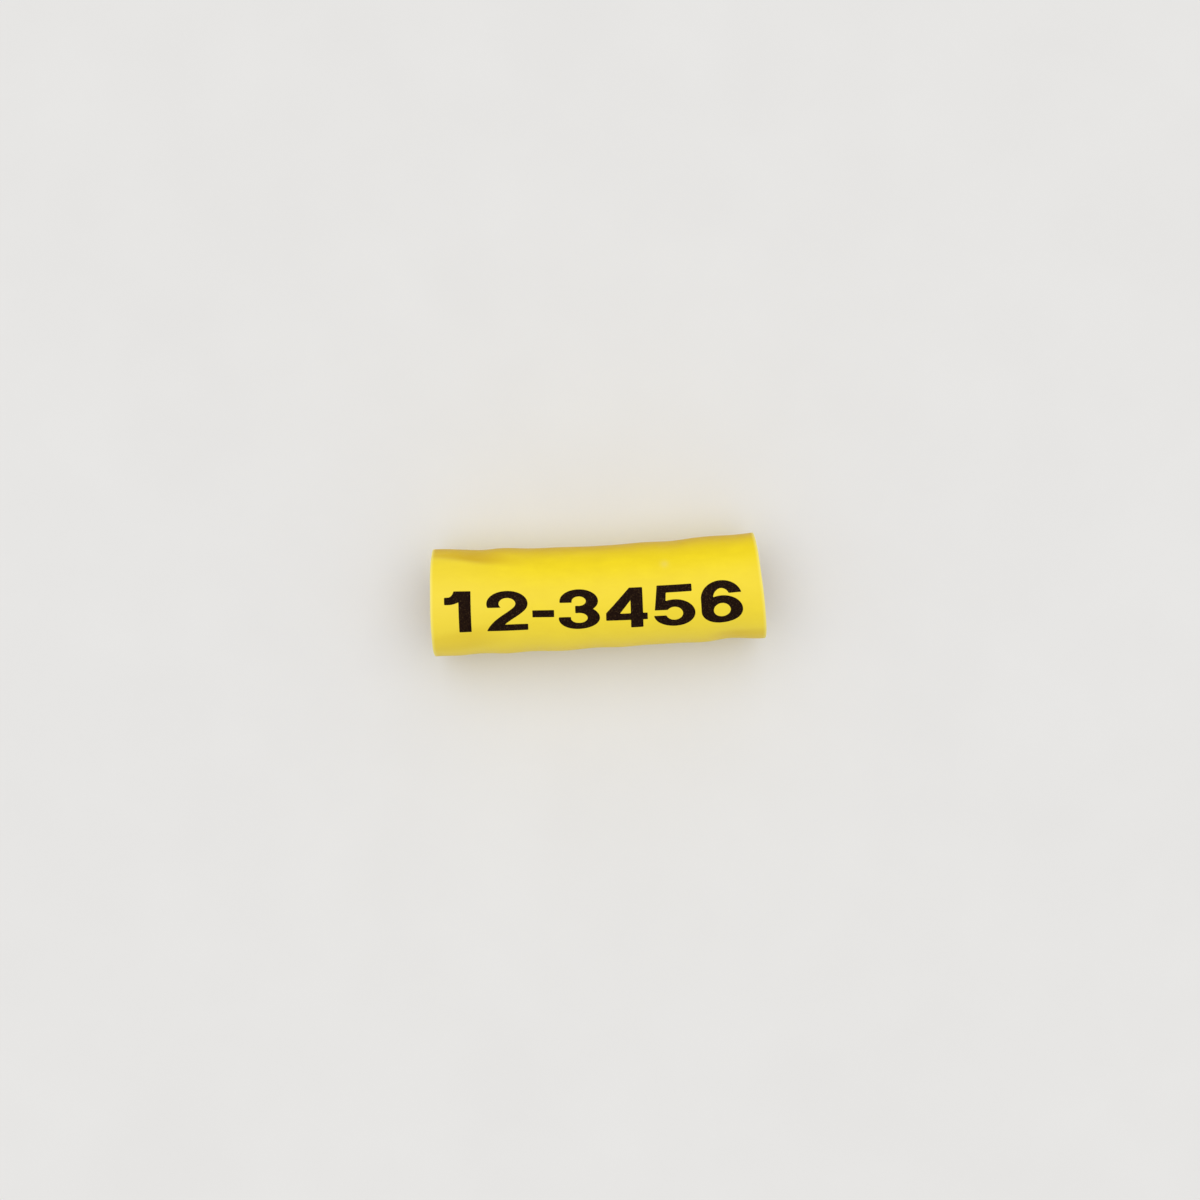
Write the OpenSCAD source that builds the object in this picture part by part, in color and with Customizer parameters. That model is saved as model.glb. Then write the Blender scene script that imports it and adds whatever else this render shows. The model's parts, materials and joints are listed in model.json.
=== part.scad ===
// Heat-shrink cable marker: a thin sleeve that has taken the bore and the gentle bend of its cable.
// It lies on its side with its printed face up. +X runs along the straight half, in reading direction.
// The origin is on the bore's axis at mid-length, where the straight half meets the bent half.

/* [Sleeve] */
// Length along the centreline
sleeve_len = 50.8; // [44:0.1:101.6]
// Diameter of the bore, which grips the cable
bore_d = 15; // [6:0.1:30]
// Thickness of the shrunk wall
wall = 0.5; // [0.3:0.05:1.2]

/* [Bend] */
// Angle that the bent half turns through
bend_angle = 4.5; // [1:0.5:30]

/* [Near mouth] */
// Length of the flared stretch at the straight end
near_mouth_len = 13; // [4:0.5:20]
// How much the rim's radius grows there
near_flare = 0.3; // [0.1:0.05:0.8]

/* [Far mouth] */
// Length of the flared stretch at the bent end
far_mouth_len = 4; // [4:0.5:20]
// How much the rim's radius grows there
far_flare = 0.1; // [0.1:0.05:0.8]

/* [Hidden] */
bore_r = bore_d / 2;
outer_r = bore_r + wall;
half_len = sleeve_len / 2;
barrel_len = half_len - near_mouth_len;
bend_len = half_len - far_mouth_len;
bend_radius = bend_len * 180 / (PI * bend_angle);

// Sides of the round stretches, and of the lofted mouths
round_sides = 96;
loft_sides = 64;
// A loft with flat sides clears a round of its own radius when it is larger by this factor
flat_side = 1 / cos(180 / loft_sides);
// Thickness of the discs that a mouth is lofted between
disc_t = 0.01;
// A mouth starts this far back along the wall that it grows from, and this far outside its two faces
root_overlap = 0.05;
root_step = 0.01;

// Round section of the wall
module wall_section() {
    difference() {
        circle(outer_r, $fn = round_sides);
        circle(bore_r, $fn = round_sides);
    }
}

// Straight stretch of wall that ends at the origin
module barrel() {
    translate([-barrel_len, 0, 0])
        rotate([0, 90, 0])
            linear_extrude(barrel_len) wall_section();
}

// Stretch that leaves the origin along +X and curves towards +Y
module bend() {
    translate([0, bend_radius, 0])
        rotate([0, 0, -90])
            rotate_extrude(angle = bend_angle, $fn = round_sides)
                translate([bend_radius, 0]) wall_section();
}

// Moves what starts at the origin to the end of the bend
module after_bend() {
    translate([0, bend_radius, 0])
        rotate([0, 0, bend_angle])
            translate([0, -bend_radius, 0]) children();
}

// Thin disc that faces along X
module disc(r) {
    rotate([0, 90, 0])
        cylinder(r = r, h = disc_t, $fn = loft_sides);
}

// Solid between two discs, with the far one lifted
module lifted_loft(r_start, r_end, length, lift) {
    hull() {
        disc(r_start);
        translate([length - disc_t, 0, lift]) disc(r_end);
    }
}

// Flared end of the wall, from the origin along +X.
// Its rim is lifted by the flare, so that the sleeve lies level on its lowest line.
module mouth(length, flare) {
    loft_len = root_overlap + length;
    translate([-root_overlap, 0, 0])
        difference() {
            lifted_loft((outer_r + root_step) * flat_side, outer_r + flare, loft_len, flare);
            translate([-disc_t, 0, 0])
                lifted_loft(
                    (bore_r + root_step) * flat_side,
                    (bore_r + flare) * flat_side,
                    loft_len + 2 * disc_t,
                    flare
                );
        }
}

module marker_sleeve() {
    color([0.97, 0.86, 0.18]) {
        translate([-barrel_len, 0, 0])
            mirror([1, 0, 0]) mouth(near_mouth_len, near_flare);
        barrel();
        bend();
        after_bend() mouth(far_mouth_len, far_flare);
    }
}

marker_sleeve();
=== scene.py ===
"""Heat-shrink cable marker: a thin yellow film sleeve with a printed number, lying with its print up."""
import json
import math

import bpy
import numpy as np
from mathutils import Matrix, Vector


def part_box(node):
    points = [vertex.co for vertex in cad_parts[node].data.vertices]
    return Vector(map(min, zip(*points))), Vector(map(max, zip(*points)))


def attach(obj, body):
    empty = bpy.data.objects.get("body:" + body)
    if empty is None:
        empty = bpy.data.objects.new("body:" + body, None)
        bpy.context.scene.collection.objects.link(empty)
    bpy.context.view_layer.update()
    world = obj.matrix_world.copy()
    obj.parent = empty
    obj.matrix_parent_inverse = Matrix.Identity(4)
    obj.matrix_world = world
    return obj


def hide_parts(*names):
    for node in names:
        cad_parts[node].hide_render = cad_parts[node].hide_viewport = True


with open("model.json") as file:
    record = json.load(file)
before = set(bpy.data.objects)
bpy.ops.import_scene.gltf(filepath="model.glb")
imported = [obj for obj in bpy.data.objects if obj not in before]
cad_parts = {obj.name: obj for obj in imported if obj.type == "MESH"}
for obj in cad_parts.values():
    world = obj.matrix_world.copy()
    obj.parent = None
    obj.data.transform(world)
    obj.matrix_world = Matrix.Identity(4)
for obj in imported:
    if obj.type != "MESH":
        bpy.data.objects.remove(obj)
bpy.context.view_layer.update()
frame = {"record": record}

# Sizes are in millimetres and degrees, and the meshes are made in metres
MM = 0.001

# The sleeve, with the sizes of its solid
SLEEVE_NODE = "marker_sleeve"
HALF_LEN = -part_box(SLEEVE_NODE)[0].x / MM
SLEEVE_LEN = 2 * HALF_LEN
BORE_R = frame["record"]["mounts"][0]["dims"]["r_mm"]
WALL = 0.5
OUTER_R = BORE_R + WALL
# Its two mouths: how long they are, and how far their radius grows
NEAR_MOUTH_LEN = 13
NEAR_FLARE = 0.3
FAR_MOUTH_LEN = 4
FAR_FLARE = 0.1
# Its bend, which runs from mid-length to the far mouth
BEND = math.radians(4.5)
BEND_LEN = HALF_LEN - FAR_MOUTH_LEN
BEND_R = BEND_LEN / BEND
# Radius of the cut edges
LIP_R = 0.1
# Steps of the film's mesh: round a cut edge, along its outer and inner face, and around the sleeve
LIP_STEPS = 5
OUTER_RINGS = 240
INNER_RINGS = 80
SIDES = 200

# A place on the film is given along the sleeve, from its near end at -X, and around it, from the top
# towards +Y

# Swells (+) and hollows (-) of film that has shrunk unevenly: the place along and around, how far each
# reaches along and around, and its height
SWELLS = [
    # On the +Y side
    (2.0, 88, 3.6, 35, 0.20),
    (8.0, 85, 1.6, 35, -0.11),
    (11.4, 85, 1.9, 35, 0.21),
    (27.0, 85, 2.5, 35, -0.07),
    (33.5, 85, 2.2, 35, 0.13),
    (38.6, 85, 1.8, 35, -0.09),
    (42.3, 85, 2.4, 35, 0.15),
    (50.3, 85, 3.0, 35, -0.20),
    # On the -Y side
    (0.3, -88, 2.0, 35, -0.14),
    (6.8, -85, 1.7, 35, -0.12),
    (11.6, -85, 1.9, 35, 0.14),
    (15.2, -85, 1.8, 35, -0.06),
    (20.0, -85, 2.2, 35, 0.19),
    (24.8, -85, 2.0, 35, -0.16),
    (33.0, -85, 2.5, 35, -0.12),
    (41.5, -85, 2.0, 35, 0.16),
    (45.0, -85, 1.4, 35, -0.13),
    (51.2, -85, 3.4, 35, 0.62),
    # On the printed face
    (14.2, 15, 1.6, 9, 0.03),
]
# Long waves all over the film: length of a wave, waves around, phase and height
WAVES = [
    (15.0, 2, -30, 0.022),
    (9.4, 3, 160, 0.016),
    (6.3, 5, 275, 0.009),
]
# The underside lies level: swells, waves and folds fade out within this angle of its lowest line
UNDERSIDE = 45

# The near end is cut a little slant: how far back its +Y side lies, and how far along the film that tells
CUT_SLANT = 0.38
CUT_REACH = 10
# Small waves in the two cut edges: waves around, phase and height, and how far along the film they tell
RIM_WAVES = [
    (3, 70, 0.025),
    (7, 20, 0.012),
]
RIM_REACH = 3

# Traces of the flat tube's folds that haven't quite shrunk out, one at each mouth, and a faint crease on the
# -Y side of the near mouth: the mouth's place along, how far the trace reaches from it, the place around at
# the near end, the drift for each millimetre, the depth, and the share of painted shade in its hollow
FOLDS = [
    (0, 18, 58, -1.2, 0.15, 1.0),
    (0, 14, -38, 1.2, 0.03, 0.3),
    (SLEEVE_LEN, 11, -58, 0.0, 0.06, 0.55),
]
# A trace drops within the first angle and comes back over the second
FOLD_DROP = 13
FOLD_RETURN = 42
# Along the sleeve it fades out over this last share of its reach
FOLD_FADE = 2 / 3
# Its painted shade is weaker by this factor at the mouth itself, has its full share this far in, and fades
# out over this last share of the angle in which the film comes back
FOLD_MOUTH_TONE = 0.7
FOLD_FULL_TONE = 7
FOLD_TONE_FADE = 0.5
# Painted shade darkens the film along two lines around it, near its +Y and -Y sides: their places around and
# the share of the shade, and how far the shade reaches to each side
FOLD_LINES = [
    (82, 1.0),
    (-98, 0.4),
]
FOLD_LINE_W = 26
# A dull scuff on the film: its place along and around, and its size both ways
SCUFF = (36.2, 33, 0.6, 4.6)
# A painted highlight makes the cut edges paler for this far
LIP_HIGHLIGHT_REACH = 0.5
# A painted sheen makes the film paler towards its -Y side: the share there, the share of the radius out on
# the
# +Y side at which that starts, and a further share at the very edge, with the power by which it gathers there
PALE_SIDE = 0.5
PALE_FROM = 0.85
PALE_EDGE = 0.45
PALE_EDGE_POWER = 4
# It is paler and greyer towards its near end too, a painted shade: the share there, and how far it reaches
PALE_END = 0.45
PALE_REACH = 20
# Colour attribute of the film's mesh that holds the shares of the scuff and of the painted shade, sheen and
# highlight
SCUFF_AND_PAINTED_LIGHT = "film_scuff_and_painted_light"

# The print: a plain number in wide bold figures, whose upright strokes are wider than the level ones
NUMBER = "12-3456"
FIGURE_W = 6.25
FIGURE_H = 6.3
STEM = 1.85
BAR = 1.08
# Half sizes of a figure, of the pen that draws it, and of the frame that the pen's middle keeps to
HALF_W = FIGURE_W / 2
HALF_H = FIGURE_H / 2
PEN_X = STEM / 2
PEN_Y = BAR / 2
IN_X = HALF_W - PEN_X
IN_Y = HALF_H - PEN_Y
# A distance past the edge of every figure
FAR = 9
# Angle between the points of an arc, and number of points in a curve
ARC_STEP = 6
CURVE_STEPS = 14
# Where the first figure is along the sleeve, and the room that a figure and a hyphen take
PRINT_START = 4.65
FIGURE_ROOM = 7.18
HYPHEN_ROOM = 3.75
# The line of print lies on the -Y side of the top line and drifts further round as it goes: its place at the
# start, and the drift for each millimetre
PRINT_AROUND = -10.6
PRINT_DRIFT = -0.165
# The figures are lowest at this place along the sleeve, and taller by this share half a sleeve away from it
PRINT_LOWEST = 14
PRINT_STRETCH = 0.072
# Cells of the print's mesh, and how near a figure's edge a corner of a cell counts as outside
PRINT_GRID = 0.1
PRINT_SNAP = 0.004
# Edges of the print that turn by more than this are sharp
PRINT_SHARP = 40
# Height of the ink above the film's face, and its depth below it
INK_T = 0.015
INK_SINK = 0.03

# Colours in linear light: the range of the film's mottling, its drawing lines, its painted sheen and painted
# shade, its scuff and the painted highlight of its cut edges
FILM_LOW = (0.915, 0.702, 0.003)
FILM_HIGH = (0.995, 0.783, 0.005)
FILM_LINES = (0.87, 0.652, 0.003)
FILM_SHEEN_AND_SHADE_PAINT = (0.925, 0.718, 0.070)
FILM_PAINTED_SHADE = (0.715, 0.462, 0.003)
FILM_SCUFF = (0.89, 0.70, 0.078)
FILM_LIP_HIGHLIGHT = (0.97, 0.83, 0.19)
# The ink and its pinholes
INK_BLACK = (0.0115, 0.0048, 0.0030)
INK_PINHOLE = (0.100, 0.058, 0.020)
# The range of the floor, and the backdrop beyond it
FLOOR_LOW = (0.795, 0.786, 0.772)
FLOOR_HIGH = (0.81, 0.802, 0.788)
BACKDROP = (0.80, 0.79, 0.775)
# The usual range of a noise, and its values at which a pinhole starts and is full
NOISE_LOW = 0.3
NOISE_HIGH = 0.7
PINHOLE_FROM = 0.56
PINHOLE_FULL = 0.80
# Strongest share of the drawing lines' colour
LINES_SHARE = 0.4
# Scales of the three axes that draw a noise out along the sleeve, for the lines' colour and for their relief
LINES_COLOUR_RUN = (0.3, 1, 1)
LINES_RELIEF_RUN = (0.06, 1, 1)

# The floor's half width
FLOOR_HALF = 20000
# Light on a level floor from all round and from the lamp, which together show a colour about as it is written
WORLD_LIGHT = 0.57
LAMP_LIGHT = 0.43
# How wide the lamp is, and how far it leans from overhead
LAMP_WIDTH = 80
LAMP_LEAN = -10

# Camera: its height above the sleeve's axis, the width that it takes in there, the turn of the picture,
# and how far the camera is to the right of the origin and above it in the picture
CAMERA_H = 300
PICTURE_W = 186.9
CAMERA_TURN = 2.46
CAMERA_RIGHT = 0.60
CAMERA_UP = -0.46
# The width of its sensor, and the distance within which it shows nothing
SENSOR_W = 36
CAMERA_NEAR = 10


def smooth_step(t):
    """Smooth rise from 0 to 1."""
    t = np.clip(t, 0, 1)
    return t * t * (3 - 2 * t)


def turn_between(around, place):
    """Signed angle from a place around the sleeve."""
    return (around - place + 180) % 360 - 180


def flare(along):
    """Growth of the film's radius towards the two mouths."""
    near = smooth_step(1 - along / NEAR_MOUTH_LEN)
    far = smooth_step(1 - (SLEEVE_LEN - along) / FAR_MOUTH_LEN)
    return NEAR_FLARE * near + FAR_FLARE * far


def beside_fold(along, around, mouth, reach, place, drift):
    """Share of a fold's trace that is left at a place, the share beyond its drop, and the angle past it."""
    left = smooth_step((1 - np.abs(along - mouth) / reach) / FOLD_FADE)
    gap = turn_between(around, place + drift * along) * math.copysign(1, place)
    beyond = smooth_step(gap / FOLD_DROP + 0.5)
    return left, beyond, gap


def cut_back(along, around):
    """Place along the sleeve once the slant and the waves of the cut edges have drawn the film in."""
    wave = sum(rise * (1 + np.sin(np.radians(waves * around + phase))) for waves, phase, rise in RIM_WAVES)
    slant = CUT_SLANT * (1 + np.sin(np.radians(around))) / 2
    near_wave = wave * smooth_step(1 - along / RIM_REACH)
    far_wave = wave * smooth_step(1 - (SLEEVE_LEN - along) / RIM_REACH)
    return along + slant * smooth_step(1 - along / CUT_REACH) + near_wave - far_wave


def unevenness(along, around):
    """Height of the shrunk film above its even form."""
    height = np.zeros(np.broadcast(along, around).shape)
    for place_along, place_around, reach, spread, rise in SWELLS:
        far_along = (along - place_along) / reach
        far_around = turn_between(around, place_around) / spread
        height += rise * np.exp(-(far_along**2 + far_around**2) / 2)
    for length, waves, phase, rise in WAVES:
        height += rise * np.sin(np.radians(360 * along / length + waves * around + phase))
    for *trace, depth, _ in FOLDS:
        left, beyond, gap = beside_fold(along, around, *trace)
        height -= depth * left * beyond * smooth_step(1 - gap / FOLD_RETURN)
    level = np.abs(turn_between(around, 180))
    return height * smooth_step(level / UNDERSIDE)


def film_points(along, around, depth):
    """Points of the film, in millimetres, at a depth below its outer face."""
    from_middle = along - HALF_LEN
    turn = np.clip(from_middle / BEND_R, 0, BEND)
    straight = np.minimum(from_middle, 0) + np.maximum(from_middle - BEND_LEN, 0)
    growth = flare(along)
    radius = OUTER_R + growth + unevenness(along, around) - depth
    side = radius * np.sin(np.radians(around))
    x = BEND_R * np.sin(turn) + straight * np.cos(turn) - side * np.sin(turn)
    y = BEND_R * (1 - np.cos(turn)) + straight * np.sin(turn) + side * np.cos(turn)
    # A mouth rises as it grows, so that the lowest line stays level
    z = growth + radius * np.cos(np.radians(around))
    return np.stack([x, y, z], -1)


def film_section():
    """The film's section along the sleeve, as a closed loop of places along it and depths below its face."""
    quarter = np.radians(np.linspace(0, 90, LIP_STEPS + 1))
    rise = LIP_R * np.sin(quarter)
    drop = LIP_R * (1 - np.cos(quarter))
    far_lip = SLEEVE_LEN - LIP_R
    outer = np.linspace(LIP_R, far_lip, OUTER_RINGS)
    inner = np.linspace(far_lip, LIP_R, INNER_RINGS)[1:]
    stretches = [
        (outer, 0 * outer),
        (far_lip + rise[1:], drop[1:]),
        (SLEEVE_LEN - drop, WALL - LIP_R + rise),
        (inner, WALL + 0 * inner),
        (LIP_R - rise[1:], WALL - drop[1:]),
        (drop[:-1], LIP_R - rise[:-1]),
    ]
    return [np.concatenate(values) for values in zip(*stretches)]


def painted_shade_tone(along, around):
    """Share of the film's painted shade, along two lines near its sides and in the hollows past the folds'
    traces.
    """
    painted_shade = np.zeros(along.shape)
    for line, tone in FOLD_LINES:
        painted_shade = np.maximum(painted_shade, tone * np.exp(-((turn_between(around, line) / FOLD_LINE_W) ** 2)))
    # Each fold's trace lifts the lines' painted shade before its drop and paints shade in the hollow beyond
    # it
    for *trace, _, tone in FOLDS:
        left, beyond, gap = beside_fold(along, around, *trace)
        painted_shade *= 1 - tone * left * (1 - beyond) * smooth_step(1 + gap / FOLD_RETURN)
        inwards = smooth_step(np.abs(along - trace[0]) / FOLD_FULL_TONE)
        share = tone * (FOLD_MOUTH_TONE + (1 - FOLD_MOUTH_TONE) * inwards)
        fade = smooth_step((1 - gap / FOLD_RETURN) / FOLD_TONE_FADE)
        painted_shade = np.maximum(painted_shade, share * left * beyond * fade)
    return painted_shade


def painted_sheen_and_shade_tone(along, around):
    """Share of the film's paler tone: a painted sheen on its -Y side and a painted shade at its near end."""
    out = np.sin(np.radians(around))
    side = PALE_SIDE * smooth_step(1 - out / PALE_FROM)
    edge = PALE_EDGE * np.minimum(out, 0) ** PALE_EDGE_POWER
    near = PALE_END * smooth_step(1 - along / PALE_REACH)
    return 1 - (1 - side - edge) * (1 - near)


def film_scuff_and_painted_light(along, around):
    """Shares of the film's painted shade, of its scuff, of the painted highlight on its cut edges and of its
    painted sheen and shade.
    """
    scuff_along, scuff_around, scuff_l, scuff_w = SCUFF
    far_along = (along - scuff_along) / scuff_l
    far_around = turn_between(around, scuff_around) / scuff_w
    scuff = np.exp(-(far_along**2 + far_around**2))
    # Painted highlight along the cut edges
    lip_highlight = smooth_step(1 - np.minimum(along, SLEEVE_LEN - along) / LIP_HIGHLIGHT_REACH)
    return np.stack([painted_shade_tone(along, around), scuff, lip_highlight, painted_sheen_and_shade_tone(along, around)], -1)


def mesh_object(name, points, faces, *materials):
    """Object of a mesh given in millimetres, with the first material on all its faces."""
    mesh = bpy.data.meshes.new(name)
    mesh.from_pydata((np.asarray(points) * MM).tolist(), [], faces)
    for material in materials:
        mesh.materials.append(material)
    mesh.shade_smooth()
    made = bpy.data.objects.new(name, mesh)
    bpy.context.scene.collection.objects.link(made)
    return made


def film_sleeve(face, inside):
    """The film, with both faces and its cut edges, in the materials of its face and of its inside."""
    section_along, section_depth = film_section()
    rings = len(section_along)
    around = np.arange(SIDES) * 360 / SIDES
    along, around = np.meshgrid(section_along, around, indexing="ij")
    depth = np.repeat(section_depth[:, None], SIDES, axis=1)
    points = film_points(cut_back(along, around), around, depth).reshape(-1, 3)
    faces = []
    for ring in range(rings):
        after = (ring + 1) % rings
        for side in range(SIDES):
            beside = (side + 1) % SIDES
            faces.append([
                ring * SIDES + side,
                after * SIDES + side,
                after * SIDES + beside,
                ring * SIDES + beside,
            ])
    made = mesh_object("film_sleeve", points, faces, face, inside)
    within = (section_depth > WALL / 2).astype(int)
    made.data.polygons.foreach_set("material_index", np.repeat(within, SIDES))
    # Shares of painted shade, scuff, painted highlight on the cut edges and painted sheen, at each point
    scuff_and_painted_light = made.data.color_attributes.new(SCUFF_AND_PAINTED_LIGHT, "FLOAT_COLOR", "POINT")
    scuff_and_painted_light.data.foreach_set("color", film_scuff_and_painted_light(along, around).ravel())
    return made


def arc(centre, radii, start, end):
    """Points along an ellipse, from one angle to another."""
    turn = np.radians(np.linspace(start, end, int(abs(end - start) / ARC_STEP) + 2))
    return [(centre[0] + radii[0] * math.cos(a), centre[1] + radii[1] * math.sin(a)) for a in turn]


def curve(start, pull_start, pull_end, end):
    """Points after the start of a cubic curve."""
    share = np.linspace(0, 1, CURVE_STEPS)[1:, None]
    rest = 1 - share
    corners = [np.array(p) for p in (start, pull_start, pull_end, end)]
    weights = [rest**3, 3 * share * rest**2, 3 * share**2 * rest, share**3]
    return [tuple(p) for p in sum(w * c for w, c in zip(weights, corners))]


def stroke(path):
    """Distance field of a line that is drawn with a pen wider than it is tall."""
    squeeze = np.array([1, PEN_X / PEN_Y])
    corners = np.array(path) * squeeze

    def field(x, y):
        place = np.stack([x, y], -1) * squeeze
        nearest = np.full(x.shape, np.inf)
        for start, end in zip(corners[:-1], corners[1:]):
            step = end - start
            share = np.clip(((place - start) @ step) / (step @ step), 0, 1)
            away = np.linalg.norm(place - start - share[..., None] * step, axis=-1)
            nearest = np.minimum(nearest, away)
        return nearest - PEN_X

    return field


def polygon(*corners):
    """Distance field of a convex shape, with its corners anticlockwise."""

    def field(x, y):
        outside = np.full(x.shape, -np.inf)
        for (x0, y0), (x1, y1) in zip(corners, corners[1:] + corners[:1]):
            side = (y1 - y0) * (x - x0) - (x1 - x0) * (y - y0)
            outside = np.maximum(outside, side / math.hypot(x1 - x0, y1 - y0))
        return outside

    return field


def box(left, low, right, high):
    return polygon((left, low), (right, low), (right, high), (left, high))


def all_of(*fields):
    """Where all the fields overlap."""
    return lambda x, y: np.maximum.reduce([field(x, y) for field in fields])


def any_of(*fields):
    """Where at least one of the fields is."""
    return lambda x, y: np.minimum.reduce([field(x, y) for field in fields])


def above(y):
    return box(-FAR, y, FAR, FAR)


def below(y):
    return box(-FAR, -FAR, FAR, y)


def right_of(x):
    return box(x, -FAR, FAR, FAR)


def left_of(x):
    return box(-FAR, -FAR, x, FAR)


# The figures, each as a distance field from its middle


def one():
    stem_x = -0.15
    flag_x = -2.3
    flag_y = 1.7
    swing = ((-1.7, flag_y + 1.6), (1.75, 1.6))
    stem = box(stem_x, -HALF_H, stem_x + STEM, HALF_H)
    flag = stroke([(-HALF_W, flag_y)] + arc(*swing, 270, 350))
    return any_of(stem, all_of(flag, box(flag_x, -HALF_H, stem_x + PEN_X, HALF_H)))


def two():
    bowl_y = 1.2
    head_cut = 0.62
    foot_x = -2.2
    bowl = ((0, bowl_y), (IN_X, IN_Y - bowl_y))
    head = all_of(stroke(arc(*bowl, 215, 60)), above(head_cut))
    side = arc(*bowl, 70, -36)
    tail = stroke(side + curve(side[-1], (0.7, -0.7), (-1.3, -1.25), (foot_x, -HALF_H)))
    foot = box(foot_x, -HALF_H, HALF_W, -HALF_H + BAR)
    return all_of(any_of(head, tail, foot), box(-HALF_W, -HALF_H, HALF_W, HALF_H))


def three():
    waist_y = 0.1
    top_cut = 1.15
    low_cut = -1.05
    top = ((-0.05, (IN_Y + waist_y) / 2), (IN_X - 0.2, (IN_Y - waist_y) / 2))
    low = ((0, (waist_y - IN_Y) / 2), (IN_X, (IN_Y + waist_y) / 2))
    notch = right_of(-0.6)
    return any_of(
        all_of(stroke(arc(*top, 215, 60)), above(top_cut)),
        all_of(stroke(arc(*top, 70, -100)), notch),
        all_of(stroke(arc(*low, -215, -60)), below(low_cut)),
        all_of(stroke(arc(*low, -70, 100)), notch),
    )


def four():
    stem_x = 0.6
    bar_y = -1.8
    stem = box(stem_x, -HALF_H, stem_x + STEM, HALF_H)
    bar = box(-HALF_W, bar_y, HALF_W, bar_y + BAR)
    slope = polygon(
        (-HALF_W, bar_y),
        (-1.5, bar_y + PEN_Y),
        (stem_x + PEN_X, 2.4),
        (stem_x + PEN_X, HALF_H),
        (stem_x - 0.15, HALF_H),
        (-HALF_W, bar_y + 1.2),
    )
    return any_of(stem, bar, slope)


def five():
    bowl_y = -1.05
    post_y = -0.45
    hook_cut = -1.3
    bowl = ((0, bowl_y), (IN_X, IN_Y + bowl_y))
    lid = box(-2.5, HALF_H - BAR, HALF_W - 0.35, HALF_H)
    post = polygon((-2.97, post_y), (-1.4, post_y), (-1.1, HALF_H), (-2.52, HALF_H))
    shoulder = all_of(stroke(arc(*bowl, 160, 0)), any_of(above(post_y), right_of(-0.3)), right_of(-2.7))
    hook = all_of(stroke(arc(*bowl, 10, -215)), any_of(right_of(0), below(hook_cut)))
    return any_of(lid, post, shoulder, hook)


def six():
    bowl_y = -1.05
    spine_y = 0.75
    spine_cut = 1.3
    bowl = stroke(arc((0, bowl_y), (IN_X, IN_Y + bowl_y), 0, 360))
    back = arc((0, spine_y), (IN_X, IN_Y - spine_y), 10, 180)
    spine = all_of(stroke(back + [(-IN_X, bowl_y)]), any_of(above(spine_cut), left_of(0)))
    return any_of(bowl, spine)


def hyphen():
    half_w = 1.65
    return box(-half_w, -1.0, half_w, 0.1)


FIGURES = {"1": one, "2": two, "3": three, "4": four, "5": five, "6": six, "-": hyphen}


def flat_figure(field):
    """Flat mesh of a figure: a grid of cells, cut along the figure's edge."""
    xs = np.arange(-HALF_W - PRINT_GRID, HALF_W + 2 * PRINT_GRID, PRINT_GRID)
    ys = np.arange(-HALF_H - PRINT_GRID, HALF_H + 2 * PRINT_GRID, PRINT_GRID)
    outside = field(*np.meshgrid(xs, ys, indexing="ij"))
    outside = np.where(np.abs(outside) < PRINT_SNAP, PRINT_SNAP, outside)
    points = []
    numbers = {}
    faces = []

    def number_of(key, place):
        if key not in numbers:
            numbers[key] = len(points)
            points.append(place)
        return numbers[key]

    def place_of(corner):
        return np.array([xs[corner[0]], ys[corner[1]]])

    for i, j in np.ndindex(len(xs) - 1, len(ys) - 1):
        corners = [(i, j), (i + 1, j), (i + 1, j + 1), (i, j + 1)]
        face = []
        for here, there in zip(corners, corners[1:] + corners[:1]):
            if outside[here] < 0:
                face.append(number_of(here, place_of(here)))
            if (outside[here] < 0) != (outside[there] < 0):
                share = outside[here] / (outside[here] - outside[there])
                place = place_of(here) + share * (place_of(there) - place_of(here))
                face.append(number_of(tuple(sorted((here, there))), place))
        if face:
            faces.append(face)
    return np.array(points), faces


def thick_faces(faces, count):
    """Faces of a flat mesh given thickness: the top, the underside on later points, and the walls between."""
    edges = [edge for face in faces for edge in zip(face, face[1:] + face[:1])]
    known = set(edges)
    rim = [(start, end) for start, end in edges if (end, start) not in known]
    walls = [[end, start, start + count, end + count] for start, end in rim]
    under = [[corner + count for corner in reversed(face)] for face in faces]
    return faces + under + walls


def printed_number(material):
    """The number as a thin layer of ink that follows the film."""
    points = []
    faces = []
    lean = math.radians(PRINT_DRIFT) * OUTER_R
    along = PRINT_START - FIGURE_ROOM / 2
    for mark in NUMBER:
        half_room = (HYPHEN_ROOM if mark == "-" else FIGURE_ROOM) / 2
        along += half_room
        flat, cells = flat_figure(FIGURES[mark]())
        away = (along - PRINT_LOWEST) / HALF_LEN
        tall = flat[:, 1] * (1 + PRINT_STRETCH * away**2)
        place_along = along + flat[:, 0] - lean * tall
        line = PRINT_AROUND + PRINT_DRIFT * (along - PRINT_START)
        place_around = line + np.degrees((tall + lean * flat[:, 0]) / OUTER_R)
        first = sum(len(layer) for layer in points)
        points.append(film_points(place_along, place_around, -INK_T))
        points.append(film_points(place_along, place_around, INK_SINK))
        for face in thick_faces(cells, len(flat)):
            faces.append([first + corner for corner in face])
        along += half_room
    made = mesh_object("printed_number", np.concatenate(points), faces, material)
    made.data.set_sharp_from_angle(angle=math.radians(PRINT_SHARP))
    return made


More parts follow.
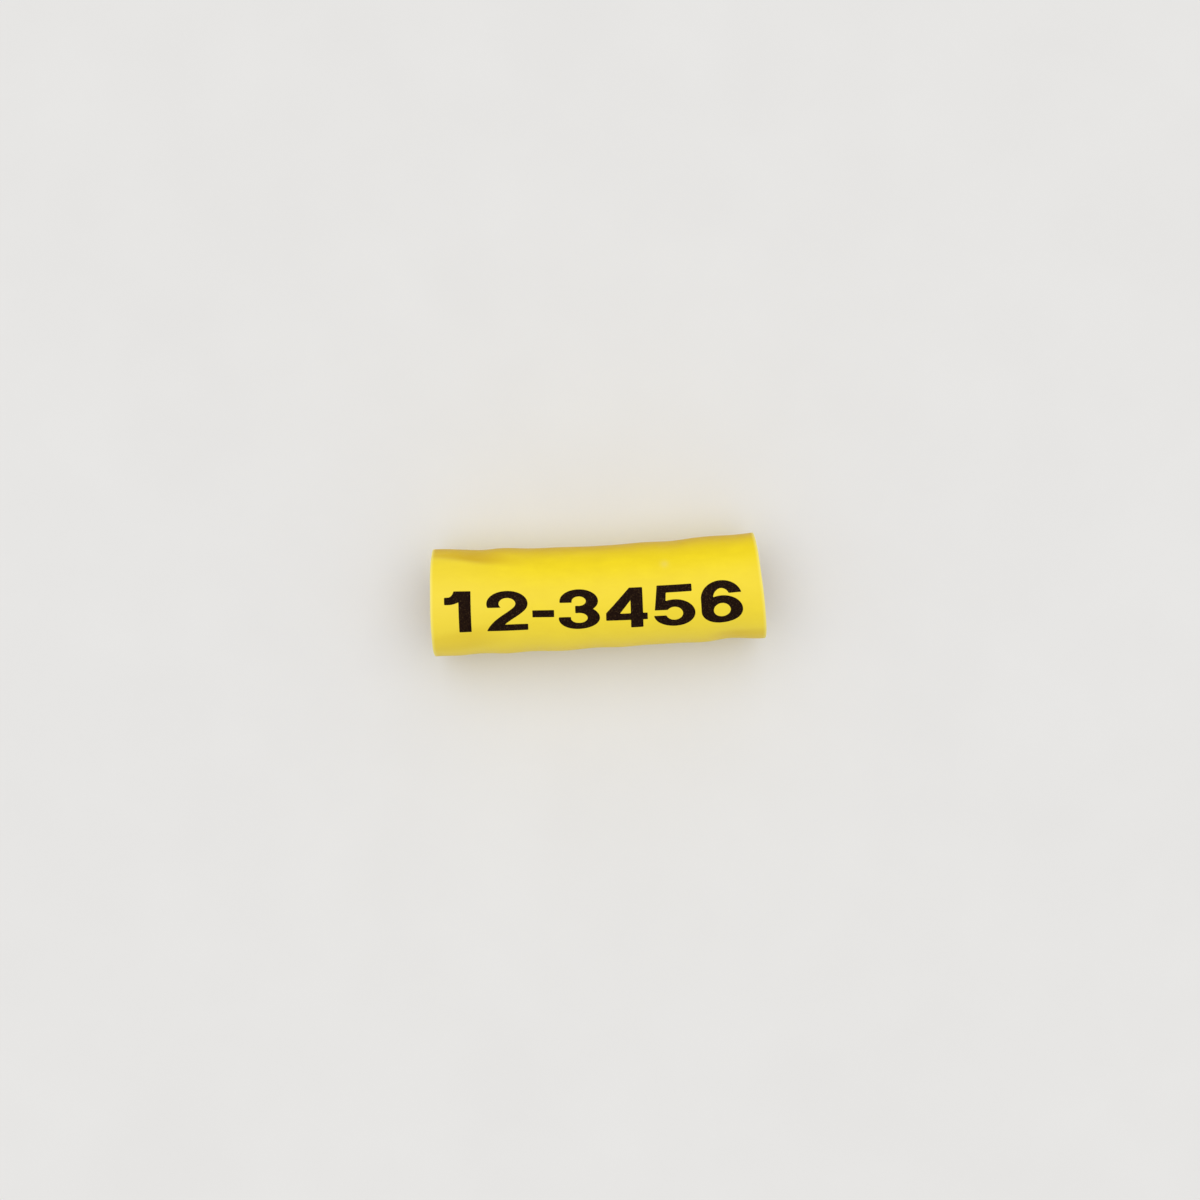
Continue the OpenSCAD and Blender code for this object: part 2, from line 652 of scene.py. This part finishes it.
class Nodes:
    """The nodes of one material or world, with a short call for each kind."""

    def __init__(self, owner):
        owner.use_nodes = True
        self.tree = owner.node_tree
        self.tree.nodes.clear()

    def add(self, kind, inputs=None, **settings):
        """A node with its settings, and its inputs by name or number, each linked or set to a value."""
        node = self.tree.nodes.new("ShaderNode" + kind)
        for name, value in settings.items():
            setattr(node, name, value)
        for key, source in (inputs or {}).items():
            if isinstance(source, bpy.types.NodeSocket):
                self.tree.links.new(source, node.inputs[key])
            else:
                node.inputs[key].default_value = source
        return node

    def place(self):
        """Place on the object, in metres."""
        return self.add("TexCoord").outputs["Object"]

    def stretched(self, place, scale):
        """A place with each of its axes scaled."""
        return self.add("Mapping", {"Vector": place, "Scale": scale}).outputs["Vector"]

    def noise(self, place, scale, detail=3, roughness=0.5):
        """Soft noise, whose scale is about the number of its features in a metre."""
        inputs = {"Vector": place, "Scale": scale, "Detail": detail, "Roughness": roughness}
        return self.add("TexNoise", inputs).outputs["Fac"]

    def between(self, source, low, high):
        """A value that runs from low to high as its source runs over a noise's usual range."""
        inputs = {
            "Value": source,
            "From Min": NOISE_LOW,
            "From Max": NOISE_HIGH,
            "To Min": low,
            "To Max": high,
        }
        return self.add("MapRange", inputs).outputs["Result"]

    def ramp(self, source, *stops):
        """Colours along a scale, from two pairs of place and colour."""
        made = self.add("ValToRGB", {"Fac": source})
        for element, (place, colour) in zip(made.color_ramp.elements, stops):
            element.position = place
            element.color = (*colour, 1)
        return made.outputs["Color"]

    def mix(self, share, under, colour):
        """A colour laid over another by a share, on the sockets that this node has for colours."""
        inputs = {0: share, 6: under, 7: (*colour, 1)}
        return self.add("Mix", inputs, data_type="RGBA").outputs[2]

    def bump(self, source, rise, under=None):
        """Fine relief that rises by so many millimetres, over other relief if there is any."""
        inputs = {"Height": source, "Strength": 1, "Distance": rise * MM}
        if under is not None:
            inputs["Normal"] = under
        return self.add("Bump", inputs).outputs["Normal"]

    def surface(self, colour, roughness, specular, normal=None):
        """The shader of a material, and its output."""
        inputs = {"Base Color": colour, "Roughness": roughness, "Specular IOR Level": specular}
        if normal is not None:
            inputs["Normal"] = normal
        shader = self.add("BsdfPrincipled", inputs)
        self.add("OutputMaterial", {"Surface": shader.outputs["BSDF"]})


def film_material(name, roughness, specular):
    """Yellow polyolefin with soft mottling, faint drawing lines, a scuff and a fine orange peel, with painted
    shade, sheen and highlight from the mesh's colour attribute.
    """
    material = bpy.data.materials.new(name)
    nodes = Nodes(material)
    place = nodes.place()
    mottle = nodes.noise(place, scale=240, detail=4, roughness=0.6)
    colour = nodes.ramp(mottle, (NOISE_LOW, FILM_LOW), (NOISE_HIGH, FILM_HIGH))
    streaks = nodes.noise(nodes.stretched(place, LINES_COLOUR_RUN), scale=800)
    colour = nodes.mix(nodes.between(streaks, 0, LINES_SHARE), colour, FILM_LINES)
    scuff_and_painted_light = nodes.add("Attribute", attribute_name=SCUFF_AND_PAINTED_LIGHT)
    split = nodes.add("SeparateColor", {"Color": scuff_and_painted_light.outputs["Color"]})
    # Painted sheen on the -Y side and painted greyer shade at the near end
    colour = nodes.mix(scuff_and_painted_light.outputs["Alpha"], colour, FILM_SHEEN_AND_SHADE_PAINT)
    # Painted shade along the sides and in the hollows past the folds' traces
    colour = nodes.mix(split.outputs["Red"], colour, FILM_PAINTED_SHADE)
    colour = nodes.mix(split.outputs["Green"], colour, FILM_SCUFF)
    # Painted highlight along the cut edges
    colour = nodes.mix(split.outputs["Blue"], colour, FILM_LIP_HIGHLIGHT)
    peel = nodes.bump(nodes.noise(place, scale=2600, detail=2), rise=0.003)
    drawn = nodes.noise(nodes.stretched(place, LINES_RELIEF_RUN), scale=1500, detail=2)
    lines = nodes.bump(drawn, rise=0.004, under=peel)
    waves = nodes.bump(nodes.noise(place, scale=420, detail=2), rise=0.012, under=lines)
    shine = nodes.between(nodes.noise(place, scale=700), *roughness)
    nodes.surface(colour, shine, specular, waves)
    return material


def ink_material():
    """Flat warm black print with fine pinholes, where the ink missed the film."""
    material = bpy.data.materials.new("black_print")
    nodes = Nodes(material)
    place = nodes.place()
    speckle = nodes.noise(place, scale=6200, detail=2)
    colour = nodes.ramp(speckle, (PINHOLE_FROM, INK_BLACK), (PINHOLE_FULL, INK_PINHOLE))
    grain = nodes.bump(nodes.noise(place, scale=5200, detail=2), rise=0.002)
    nodes.surface(colour, roughness=0.6, specular=0.02, normal=grain)
    return material


def floor_material():
    """Pale matt sheet."""
    material = bpy.data.materials.new("pale_floor")
    nodes = Nodes(material)
    tone = nodes.noise(nodes.place(), scale=60)
    colour = nodes.ramp(tone, (NOISE_LOW, FLOOR_LOW), (NOISE_HIGH, FLOOR_HIGH))
    nodes.surface(colour, roughness=0.9, specular=0.1)
    return material


def pale_floor():
    """Large flat floor under the lowest line of the sleeve."""
    ends = [(-1, -1), (1, -1), (1, 1), (-1, 1)]
    corners = [(x * FLOOR_HALF, y * FLOOR_HALF, -OUTER_R) for x, y in ends]
    return mesh_object("pale_floor", corners, [[0, 1, 2, 3]], floor_material())


def soft_world():
    """Even light from all round, with the floor's tone as the backdrop that is seen and mirrored."""
    world = bpy.data.worlds.new("soft_world")
    bpy.context.scene.world = world
    nodes = Nodes(world)
    light = nodes.add("Background", {"Color": (1, 1, 1, 1), "Strength": WORLD_LIGHT})
    backdrop = nodes.add("Background", {"Color": (*BACKDROP, 1), "Strength": 1})
    path = nodes.add("LightPath")
    seen = path.outputs["Is Camera Ray"]
    for kind in ("Is Glossy Ray", "Is Transmission Ray"):
        seen = nodes.add("Math", {0: seen, 1: path.outputs[kind]}, operation="MAXIMUM").outputs["Value"]
    shaders = {0: seen, 1: light.outputs["Background"], 2: backdrop.outputs["Background"]}
    shown = nodes.add("MixShader", shaders)
    nodes.add("OutputWorld", {"Surface": shown.outputs["Shader"]})


def soft_lamp():
    """One broad far lamp overhead, a little towards the top of the picture."""
    lamp = bpy.data.lights.new("soft_lamp", "SUN")
    lamp.angle = math.radians(LAMP_WIDTH)
    lamp.energy = LAMP_LIGHT * math.pi
    made = bpy.data.objects.new("soft_lamp", lamp)
    made.rotation_euler = (math.radians(LAMP_LEAN), 0, 0)
    bpy.context.scene.collection.objects.link(made)


def picture_camera():
    """Camera straight above the print, turned so that the sleeve lies as in the picture."""
    turn = math.radians(CAMERA_TURN)
    right = Vector((math.cos(turn), -math.sin(turn), 0))
    up = Vector((math.sin(turn), math.cos(turn), 0))
    back = Vector((0, 0, 1))
    data = bpy.data.cameras.new("picture_camera")
    data.sensor_width = SENSOR_W
    data.lens = SENSOR_W * CAMERA_H / PICTURE_W
    data.clip_start = CAMERA_NEAR * MM
    made = bpy.data.objects.new("picture_camera", data)
    place = (right * CAMERA_RIGHT + up * CAMERA_UP + back * CAMERA_H) * MM
    made.matrix_world = Matrix.Translation(place) @ Matrix((right, up, back)).transposed().to_4x4()
    bpy.context.scene.collection.objects.link(made)
    bpy.context.scene.camera = made


satin = film_material("yellow_film", roughness=(0.40, 0.50), specular=0.18)
matt = film_material("yellow_film_inside", roughness=(0.75, 0.85), specular=0.05)
sleeve = film_sleeve(satin, matt)
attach(sleeve, "root")
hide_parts(SLEEVE_NODE)

number = printed_number(ink_material())
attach(number, "root")

pale_floor()
soft_world()
soft_lamp()
picture_camera()
bpy.context.scene.view_settings.view_transform = "Standard"
